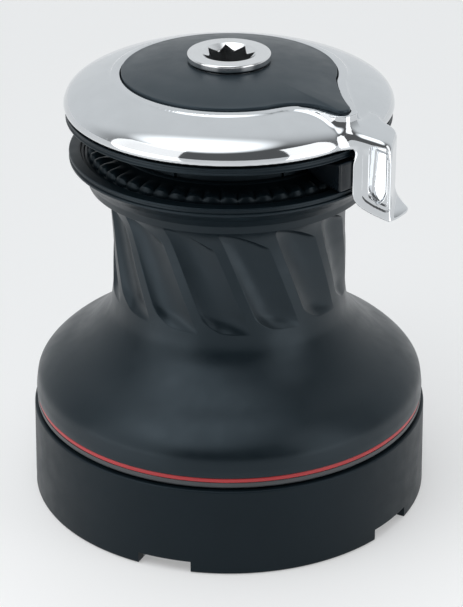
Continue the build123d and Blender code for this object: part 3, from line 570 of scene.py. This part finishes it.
def drum_warp(radius_of):
    def warp(radius, height, turn):
        outer = radius > 50.0
        step = 360.0 / FLUTES
        local = (turn - FLUTE_START + step / 2) % step - step / 2
        across = np.clip(local / FLUTE_HALF, -1, 1)
        ridge = np.clip((np.abs(local) - FLUTE_HALF) / (step / 2 - FLUTE_HALF), 0, 1) * np.sign(local)
        mean_arch = 0.5 * (arch_height(-1.0) + arch_height(1.0))
        mean_heel = 0.5 * (heel_height(-1.0) + heel_height(1.0))
        top = arch_height(across) * (1 - abs(ridge)) + mean_arch * abs(ridge)
        heel = heel_height(across) * (1 - abs(ridge)) + mean_heel * abs(ridge)
        near_top = smooth_step(height, 128.0, ARCH_Z) * (1 - smooth_step(height, ARCH_Z, 161.4))
        near_heel = smooth_step(height, 88.0, HEEL_Z) * (1 - smooth_step(height, HEEL_Z, 126.0))
        is_wall = outer & (np.abs(radius - radius_of(height)) < 0.02)
        moved = height + np.where(is_wall, near_top * (top - ARCH_Z) + near_heel * (heel - HEEL_Z), 0)
        scoop = np.clip(1 - across ** 2, 0, None) * (1 - 0.35 * across)
        below_arch = np.clip((top - moved) / 3.4, 0, 1)
        above_heel = np.clip((moved - heel) / (5.0 + 2.5 * (1 + across)), 0, 1)
        ends = np.sqrt(np.clip(1 - (1 - below_arch) ** 2, 0, 1)) * (1 - (1 - above_heel) ** 2)
        depth = FLUTE_DEPTH * scoop * ends
        lean = FLUTE_LEAN * (150.0 - np.clip(moved, 84.0, 158.0))
        wall = radius_of(moved) - depth
        return np.where(is_wall, wall, radius), moved, turn + lean
    return warp


def make_drum():
    flare = curve_through([(DRUM_R, 54.0), (94.0, 62.0), (86.5, 70.0), (74.5, 78.0), (65.6, 86.0),
                           (58.9, 95.0), (WAIST_R + 0.2, 106.0), (WAIST_R, 114.0)])
    crown = curve_through([(WAIST_R, 134.0), (WAIST_R, 140.0), (57.3, 151.0), (60.4, 158.8),
                           (64.6, 161.2)])
    wall = np.vstack(([(DRUM_R, DRUM_FOOT + 0.5)], flare, crown))
    levels = wall[:, 1]
    arc = np.concatenate(([0], np.cumsum(np.hypot(*np.diff(wall, axis=0).T))))
    even = np.interp(np.arange(0, arc[-1], 1.3), arc, levels)
    fine = np.concatenate([ARCH_Z - np.array((-0.5, 0, 0.15, 0.4, 0.8, 1.4, 2.1, 3.0, 4.0, 5.0)),
                           HEEL_Z + np.array((-0.5, 0, 0.3, 0.8, 1.5, 2.5))])
    heights = np.unique(np.round(np.concatenate((even, fine, levels[-1:])), 3))
    heights = heights[np.concatenate(([True], np.diff(heights) > 0.1))]

    def radius_of(height):
        return np.interp(height, levels, wall[:, 0])

    outer = np.stack((radius_of(heights), heights), -1)
    inner = rounded([(LIP_R - 0.3, LIP_Z - 0.7), (LIP_R, LIP_Z, 0.5), (KEYWAY_R, LIP_Z, 0.5),
                     (KEYWAY_R, NECK_TOP, 0.5), (47.0, NECK_TOP, 0.5),
                     (47.0, 180.0, 0.3), (37.0, 180.0, 0.3), (37.0, 174.0, 0.3), (47.7, 174.0, 0.3),
                     (47.7, 95.0, 0.5), (56.0, 86.0, 1.0), (62.0, 79.0, 1.0), (62.0, 66.0, 0.5),
                     (78.0, 66.0, 1.0), (88.0, 63.0, 1.0), (91.5, 56.0, 1.0), (91.5, DRUM_FOOT, 0.3),
                     (DRUM_R - 0.5, DRUM_FOOT)], closed=False)
    outline = np.vstack((outer, inner))
    turned("drum_body", outline, "drum", ["drum"], "black_anodised", flute_column_angles(),
           drum_warp(radius_of), sharp=44.0)
    land = math.degrees(3.0 / NECK_R)
    sector_blocks("drum_neck_lands", rounded([(KEYWAY_R - 0.3, LIP_Z + 0.8), (NECK_R, LIP_Z + 0.8),
                                              (NECK_R, NECK_TOP), (KEYWAY_R - 0.3, NECK_TOP)], 0.4),
                  [60.0 * k + land for k in range(6)], 60.0 - 2 * land, "drum", [], "black_anodised", 16)


# ---- jaws ---------------------------------------------------------------------------------------
def rib_wave(turn, phase=0.0):
    """Round humps side by side, one for each rib."""
    return np.abs(np.cos(np.radians(turn * JAW_RIBS / 2 + phase))) ** 0.8


def make_lower_jaw():
    """The sprung jaw. Its thin skirt hangs over the drum's lip and hides the gap left for its travel."""
    rim = LOWER_JAW_R
    skirt_r, skirt_foot = LIP_R + 0.4, LIP_Z - 0.6
    cone = [(66.4, 175.9), (66.2, 177.2), (65.4, 178.0), (63.0, 178.7), (59.0, 179.7), (55.4, 180.6)]
    outline = np.vstack((
        rounded([(53.5, LOWER_JAW_FOOT, 0.6), (skirt_r, LOWER_JAW_FOOT, 0.2), (skirt_r, skirt_foot, 0.2),
                 (skirt_r + 0.8, skirt_foot, 0.3), (68.6, 165.8, 4.0), (71.4, 169.8, 4.0),
                 (75.0, 173.0, 1.0), (rim - 0.1, 173.9, 0.5), (rim, 174.9, 0.35),
                 (rim - 0.9, 175.3, 0.3), (rim - 0.9, 176.4, 0.3), (rim, 176.8, 0.35),
                 (rim - 0.15, 177.8, 0.6), (70.6, 177.8, 0.7),
                 (70.1, 176.5, 0.4), (69.0, 176.3, 0.3), (68.6, 175.4, 0.4), (66.9, 175.4, 0.4),
                 (66.7, 175.6)], guard=0.3, closed=False),
        curve_through(cone, 3), [(54.8, 181.4), (54.2, 181.6), (53.7, 181.5), (53.5, 181.2)]))
    inside = (outline[:, 0] < 66.45) & (outline[:, 1] > 175.8)

    def ribbed(radius, height, turn):
        wave = rib_wave(turn)
        on_cone = np.broadcast_to(inside[:, None], radius.shape) & (radius > 54.5)
        fade = smooth_step(66.5 - radius, 0.0, 1.6) * smooth_step(radius, 57.0, 64.5)
        height = height + np.where(on_cone, 1.9 * wave * fade, 0)
        nose = np.where(on_cone & (radius > 65.0), 1.1 * wave, 0)
        return radius + nose, height, turn

    turned("lower_jaw_ring", outline, "lower_jaw", ["lower_jaw"], "jaw_black", JAW_RIBS * 12, ribbed)
    half = math.degrees(2.6 / NECK_R)
    sector_blocks("lower_jaw_keys", rounded([(KEYWAY_R + 0.4, 166.0), (54.0, 166.0), (54.0, 180.6),
                                             (KEYWAY_R + 0.4, 180.6)], 0.5),
                  [60.0 * k - half for k in range(6)], 2 * half, "lower_jaw", [], "jaw_black", 3)


def make_upper_jaw():
    rim, top = UPPER_JAW_R, UPPER_JAW_TOP
    outline = np.vstack((
        rounded([(46.0, top), (45.5, top, 0.4), (45.5, NECK_TOP, 0.4), (55.2, NECK_TOP)], guard=0.3,
                closed=False),
        curve_through([(55.8, 189.6), (59.5, 190.6), (66.0, 192.4), (71.0, 193.6), (73.6, 194.2)], 4),
        rounded([(rim - 1.5, 194.2), (rim, 194.3, 0.4), (rim, 194.8, 0.2), (rim - 0.55, 195.3, 0.25),
                 (rim - 0.55, 196.3, 0.25), (rim, 196.8, 0.2), (rim, top, 0.5), (70.0, top)], guard=0.2,
                closed=False)))

    def ribbed(radius, height, turn):
        wave = rib_wave(turn, 90.0)
        fade = smooth_step(radius, 55.0, 57.0) * (1 - smooth_step(radius, 70.5, 72.5))
        return radius, height - np.where(height < 194.0, 1.9 * wave * fade, 0), turn

    turned("upper_jaw_ring", outline, "drum", ["upper_jaw"], "jaw_black", JAW_RIBS * 10, ribbed)
    half = math.degrees(2.6 / NECK_R)
    lug_r, lug_top = KEYWAY_R + 0.3, NECK_TOP + 1
    lug = rounded([(lug_r, 182.0), (54.8, 182.0), (54.8, lug_top), (lug_r, lug_top)], 0.4)
    sector_blocks("upper_jaw_lugs", lug, [60.0 * k - half for k in range(6)], 2 * half, "drum", [],
                  "jaw_black", 3)


# ---- feeder ring and arm ------------------------------------------------------------------------
ARM_ANGLE = math.radians(-40.0)
FRONT_CORNER = np.array((72.5, -61.9))
FRONT_NORMAL = np.array((-0.283, -0.959))
TIP_R = 96.4


def arc_through(a, b, c, steps=14):
    """Points of the arc from a through b to c."""
    a, b, c = (np.asarray(p, float) for p in (a, b, c))
    rows = np.array((2 * (b - a), 2 * (c - a)))
    centre = np.linalg.solve(rows, (b @ b - a @ a, c @ c - a @ a))
    turns = np.unwrap([math.atan2(*(p - centre)[::-1]) for p in (a, b, c)])
    radius = np.linalg.norm(a - centre)
    sweep = np.concatenate((np.linspace(turns[0], turns[1], steps)[:-1],
                            np.linspace(turns[1], turns[2], steps)))
    return [centre + radius * np.array((math.cos(t), math.sin(t))) for t in sweep]


def in_arm_frame(radial, across):
    return (radial * math.cos(ARM_ANGLE) - across * math.sin(ARM_ANGLE),
            radial * math.sin(ARM_ANGLE) + across * math.cos(ARM_ANGLE))


def on_circle(radius, degrees):
    return (radius * math.cos(math.radians(degrees)), radius * math.sin(math.radians(degrees)))


def cover_outline():
    """The cover's drop shape: a circle with a tail towards the arm."""
    start, end = on_circle(COVER_R, -12.0), on_circle(COVER_R, -70.0)
    tail_start, tail_end = in_arm_frame(70.4, 0.0), in_arm_frame(69.0, -7.6)
    outline = arc_through(start, in_arm_frame(55.0, 12.6), tail_start)
    outline += arc_through(tail_start, in_arm_frame(72.6, -4.4), tail_end)[1:]
    outline += arc_through(tail_end, in_arm_frame(55.6, -10.4), end)[1:]
    back = [on_circle(COVER_R, a) for a in np.arange(-72.0, -372.0, -2.0)]
    return np.array(outline + [np.array(p) for p in back][:-1])


def feeder_field():
    """The polished casting: a domed ring with an arm that hangs down past the jaws to a lip."""
    outer = curve_through([(77.3, 199.0), (77.75, 200.6), (77.3, 203.0), (75.6, 205.8), (72.2, 208.3),
                           (67.0, 210.6), (60.0, 212.7), (54.6, 213.7)], 6)
    ring_outline = np.vstack(([(75.2, RING_FOOT), (76.6, RING_FOOT)], outer,
                              [(53.4, 214.1), (51.6, RING_TOP), (50.9, 213.4), (50.9, 206.0),
                               (41.4, 206.0), (41.4, 202.6), (54.0, 202.6), (54.0, 209.4),
                               (62.0, 208.0), (69.0, 205.0), (73.4, 201.6)]))
    ring = Section(ring_outline, 0.45)
    under = curve_through([(JAW_CLEAR_R, 179.0), (79.6, 175.2), (81.6, 171.7), (85.8, 168.8),
                           (90.8, 166.6), (95.4, 164.9)], 6)
    top = curve_through([(98.5, 200.0), (94.5, 202.4), (88.0, 204.2), (80.0, 206.2), (66.0, 210.0)], 6)
    side = Section(np.vstack(([(66.0, 206.0), (73.0, 204.0), (JAW_CLEAR_R, RING_FOOT)], under,
                              [(TIP_R, 165.2), (TIP_R + 0.4, 167.0), (TIP_R + 4, 170.0),
                               (TIP_R + 4, 198.0)], top)), 0.5, margin=14.0)
    panel = Section([(62.9, 201.0), (70.6, 200.4), (70.6, 178.6), (69.4, 175.2), (67.0, 172.6),
                     (64.7, 175.6), (62.9, 180.0)], 0.7)
    cover = Section(cover_outline(), 0.3)

    def field(p):
        x, y, z = p[:, 0], p[:, 1], p[:, 2]
        r = np.hypot(x, y)
        radial = x * math.cos(ARM_ANGLE) + y * math.sin(ARM_ANGLE)
        across = -x * math.sin(ARM_ANGLE) + y * math.cos(ARM_ANGLE)
        front = (x - FRONT_CORNER[0]) * FRONT_NORMAL[0] + (y - FRONT_CORNER[1]) * FRONT_NORMAL[1]
        below = np.clip((177.0 - z) / 10.0, 0, 1.15)
        corner_x = 76.2 + 7.0 * below ** 2.4
        corner_y = -45.0 - 5.0 * below
        run_x, run_y = corner_x - FRONT_CORNER[0], corner_y - FRONT_CORNER[1]
        length = np.hypot(run_x, run_y)
        outer_face = ((x - FRONT_CORNER[0]) * run_y - (y - FRONT_CORNER[1]) * run_x) / length
        flank = side(r, z)
        inward = -flank
        ledge = 0.45 * smooth_step(inward, 4.0, 4.4) + 0.45 * smooth_step(inward, 6.3, 6.7)
        ledge = ledge * (1 - smooth_step(z, 196.0, 200.0))
        front = front + ledge
        body = meet(flank, meet(front, outer_face, 1.0 + 3.0 * smooth_step(z, 192.0, 200.0)),
                    0.7 + 3.2 * smooth_step(z, 190.0, 200.0))
        body = meet(body, across - 14.8, 3.0)
        body = meet(body, 55.0 - radial, 1.0)
        body = meet(body, r - TIP_R - 0.2, 1.2)
        depth = 0.9 + 0.26 * np.clip(70.6 - x, 0, 9) + 0.10 * np.clip(z - 174.0, 0, 30)
        scoop = np.maximum(panel(x, z), -(front + depth))
        body = cut(body, scoop, 0.4)
        shell = ring(r, z)
        soft = 1.0 + 4.5 * smooth_step(r, 72.0, 77.0)
        whole = join(shell, body, soft)
        pad = np.maximum(cover(x, y) - 3.6, np.maximum(z - 213.4, 206.5 - z))
        pad = np.maximum(pad, np.maximum(r - 76.0, 52.0 - r))
        whole = join(whole, pad, 3.5)
        keep_out = np.maximum(r - JAW_CLEAR_R + 0.2, z - RING_FOOT)
        whole = meet(whole, -keep_out, 0.8)
        recess = np.maximum(cover(x, y) - 0.35, 210.4 - z)
        return cut(whole, recess, 0.5)
    return field


def make_feeder():
    low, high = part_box("feeder_ring")
    margin = Vector((2.0, 2.0, 2.0))
    fine = 0.42
    implicit_piece("feeder_ring_and_arm", feeder_field(), low / MM - margin, high / MM + margin,
                   0.9, "base", ["feeder_ring"], "polished_chrome",
                   ((50.0, 84.0, fine), (-64.0, -50.0, fine), (163.0, 204.0, fine * 1.3)))


def make_stripper():
    wedge = Section([(56.5, 183.2), (66.0, 180.2), (79.0, 179.4), (79.0, 193.2), (71.0, 191.2),
                     (56.5, 187.0)], 0.4)

    def field(p):
        x, y, z = p[:, 0], p[:, 1], p[:, 2]
        r = np.hypot(x, y)
        turn = np.degrees(np.arctan2(y, x))
        sector = np.maximum(turn + 33.0, -51.0 - turn) * math.pi / 180.0 * r
        return meet(wedge(r, z), sector, 1.0)

    low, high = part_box("line_stripper")
    margin = Vector((1.5, 1.5, 1.5))
    implicit_piece("stripper_wedge", field, low / MM - margin, high / MM + margin, 0.6, "base",
                   ["line_stripper"], "stripper_black")


# ---- cover and socket ---------------------------------------------------------------------------
def make_cover():
    drop = cover_outline()
    turn_of = np.degrees(np.arctan2(drop[:, 1], drop[:, 0]))
    order = np.argsort(turn_of)
    turns, radii = turn_of[order], np.hypot(drop[:, 0], drop[:, 1])[order]
    angles = np.unique(np.concatenate((np.arange(-180.0, -75.0, 2.0), np.arange(-75.0, -5.0, 0.5),
                                       np.arange(-6.0, 180.0, 2.0))))
    outline = np.vstack((
        rounded([(49.0, 206.0), (COVER_R, 206.0, 0.3), (COVER_R, 215.7, 0.7), (49.6, 215.85)], guard=0.3,
                closed=False),
        curve_through([(49.2, 215.9), (43.0, 217.3), (36.0, 218.5), (28.0, 219.5), (22.0, 220.0)], 3),
        rounded([(19.6, COVER_TOP), (18.4, COVER_TOP, 0.5), (18.4, 213.2, 0.3), (20.5, 213.2, 0.3),
                 (20.5, 216.6, 0.5), (36.0, 215.2, 1.0), (47.3, 212.9, 1.0), (47.3, 206.0, 0.3),
                 (48.4, 206.0)],
                closed=False)))

    def tailed(radius, height, turn):
        edge = np.interp(turn, turns, radii, period=360.0)
        push = smooth_step(radius, 36.0, COVER_R)
        moves = np.where(radius > 47.4, 1.0, np.where(height > 215.0, 1.0, 0.0))
        grown = radius + (edge - COVER_R) * push * moves
        drop_z = (edge - COVER_R) / 22.0
        top = height > 212.0
        sunk = np.where(top, -0.9 * drop_z * push, 0)
        foot = np.where((~top) & (radius > 47.4), 5.2 * np.clip(drop_z * 4, 0, 1), 0)
        return grown, height + sunk + foot, turn

    turned("cover_shell", outline, "base", ["top_cover"], "cover_black", angles, tailed)
    seal_bore = SOCKET_R - 2.2
    seal = rounded([(SEAL_R, SEAL_FOOT), (SEAL_R, SEAL_TOP, 0.5), (seal_bore, SEAL_TOP, 0.5),
                    (seal_bore, SEAL_FOOT)], 0.3)
    turned("cover_seal_ring", seal, "base", ["cover_seal"], "rubber_black", 180)


def make_socket():
    """The socket's body, with the star hole and its funnel cut out of it."""
    body_r, ridge_r, mouth_r, floor = 17.0, 9.6, 13.1, 197.0
    square, turn = 17.46, 52.5
    outline = rounded([(4.2, 183.2), (body_r, SOCKET_FOOT, 0.5), (body_r, 221.0, 0.5),
                       (SOCKET_R, 221.0, 0.4), (SOCKET_R, SOCKET_TOP, 0.9), (mouth_r, SOCKET_TOP, 0.35),
                       (ridge_r, 221.7, 1.2), (ridge_r, floor, 0.4), (4.2, floor, 0.3)], steps=5)
    piece = turned("socket_body", outline, "shaft", ["handle_socket"], "socket_steel", 360)
    half = square / 2
    inner = half * (math.sqrt(2) - 1)
    tips = []
    for k in range(8):
        a = math.radians(turn + 45.0 * k)
        for radius, off in ((half * math.sqrt(2), 45.0), (math.hypot(half, inner), 67.5)):
            b = a + math.radians(off)
            tips.append((radius * math.cos(b), radius * math.sin(b)))
    points = [(x, y, z) for z in (floor + 0.1, SOCKET_TOP + 3) for x, y in tips]
    count = len(tips)
    faces = [tuple(range(count - 1, -1, -1)), tuple(range(count, 2 * count))]
    faces += [(k, (k + 1) % count, count + (k + 1) % count, count + k) for k in range(count)]
    cutter_mesh = bpy.data.meshes.new("star_cutter")
    cutter_mesh.from_pydata([(x * MM, y * MM, z * MM) for x, y, z in points], [], faces)
    cutter = bpy.data.objects.new("star_cutter", cutter_mesh)
    bpy.context.scene.collection.objects.link(cutter)
    boolean = piece.modifiers.new("star", "BOOLEAN")
    boolean.operation = "DIFFERENCE"
    boolean.solver = "EXACT"
    boolean.object = cutter
    bpy.context.view_layer.update()
    carved = bpy.data.meshes.new_from_object(piece.evaluated_get(bpy.context.evaluated_depsgraph_get()))
    piece.modifiers.clear()
    piece.data = carved
    carved.set_sharp_from_angle(angle=math.radians(30.0))
    bpy.data.objects.remove(cutter)


make_skirt()
make_trim()
make_drum()
make_lower_jaw()
make_upper_jaw()
make_feeder()
make_stripper()
make_cover()
make_socket()


# ---- floor, light and camera --------------------------------------------------------------------
def make_floor():
    """A plain pale floor: one even colour with a little light of its own."""
    mesh = bpy.data.meshes.new("floor")
    reach = 6.0
    mesh.from_pydata([(-reach, -reach, -0.0005), (reach, -reach, -0.0005), (reach, reach, -0.0005),
                      (-reach, reach, -0.0005)], [], [(0, 1, 2, 3)])
    floor = bpy.data.objects.new("floor", mesh)
    bpy.context.scene.collection.objects.link(floor)
    material = bpy.data.materials.new("pale_floor")
    material.use_nodes = True
    shader = material.node_tree.nodes["Principled BSDF"]
    shader.inputs["Base Color"].default_value = (0.62, 0.62, 0.62, 1.0)
    shader.inputs["Roughness"].default_value = 0.9
    shader.inputs["Emission Color"].default_value = (1.0, 1.0, 1.0, 1.0)
    shader.inputs["Emission Strength"].default_value = 0.3
    mesh.materials.append(material)


def softbox(name, azimuth, distance, centre_z, width, height, radiance):
    """An area light seen at an azimuth from the object: 0 is in front, 90 to the right."""
    a = math.radians(azimuth)
    spot = Vector((math.sin(a) * distance, -math.cos(a) * distance, centre_z))
    light = bpy.data.lights.new(name, "AREA")
    light.shape = "RECTANGLE"
    light.size, light.size_y = width, height
    light.energy = radiance * width * height * math.pi
    lamp = bpy.data.objects.new(name, light)
    bpy.context.scene.collection.objects.link(lamp)
    lamp.location = spot
    lamp.rotation_euler = (Vector((0, 0, centre_z)) - spot).to_track_quat("-Z", "Y").to_euler()
    return lamp


def make_light():
    """Two softboxes at the sides, and a world that glows behind and overhead and is dim in front."""
    softbox("left_softbox", -53.2, 0.335, 0.255, 0.29, 0.5, 1.2)
    softbox("right_softbox", 51.8, 0.355, 0.255, 0.20, 0.5, 1.35)
    world = bpy.data.worlds.new("studio")
    bpy.context.scene.world = world
    world.use_nodes = True
    tree = world.node_tree
    background = tree.nodes["Background"]
    place = tree.nodes.new("ShaderNodeTexCoord")
    glows = []
    backdrop, overhead = ((0.0, 1.0, 0.0), -0.4, 0.5, 0.75), ((-0.2, -0.22, 0.955), 0.80, 0.97, 1.9)
    for aim, start, end, strength in (backdrop, overhead):
        towards = tree.nodes.new("ShaderNodeVectorMath")
        towards.operation = "DOT_PRODUCT"
        towards.inputs[1].default_value = aim
        ramp = tree.nodes.new("ShaderNodeMapRange")
        ramp.interpolation_type = "SMOOTHSTEP"
        ramp.inputs["From Min"].default_value = start
        ramp.inputs["From Max"].default_value = end
        ramp.inputs["To Min"].default_value = 0.06
        ramp.inputs["To Max"].default_value = strength
        tree.links.new(place.outputs["Generated"], towards.inputs[0])
        tree.links.new(towards.outputs["Value"], ramp.inputs["Value"])
        glows.append(ramp.outputs["Result"])
    total = tree.nodes.new("ShaderNodeMath")
    total.operation = "ADD"
    tree.links.new(glows[0], total.inputs[0])
    tree.links.new(glows[1], total.inputs[1])
    tree.links.new(total.outputs["Value"], background.inputs["Strength"])
    background.inputs["Color"].default_value = (0.95, 0.98, 1.0, 1.0)


def make_camera():
    """Looks along +Y from above, with the lens of a long product shot."""
    elevation, distance, aim, aside = math.radians(26.43), 1.078, 0.0935, 0.00113
    data = bpy.data.cameras.new("camera")
    data.lens = 130.0
    data.sensor_width = 36.0
    data.clip_start, data.clip_end = 0.01, 50.0
    camera = bpy.data.objects.new("camera", data)
    bpy.context.scene.collection.objects.link(camera)
    camera.location = (aside, -distance * math.cos(elevation), aim + distance * math.sin(elevation))
    camera.rotation_euler = (math.pi / 2 - elevation, 0.0, 0.0)
    bpy.context.scene.camera = camera


make_floor()
make_light()
make_camera()
bpy.context.scene.view_settings.view_transform = "Standard"
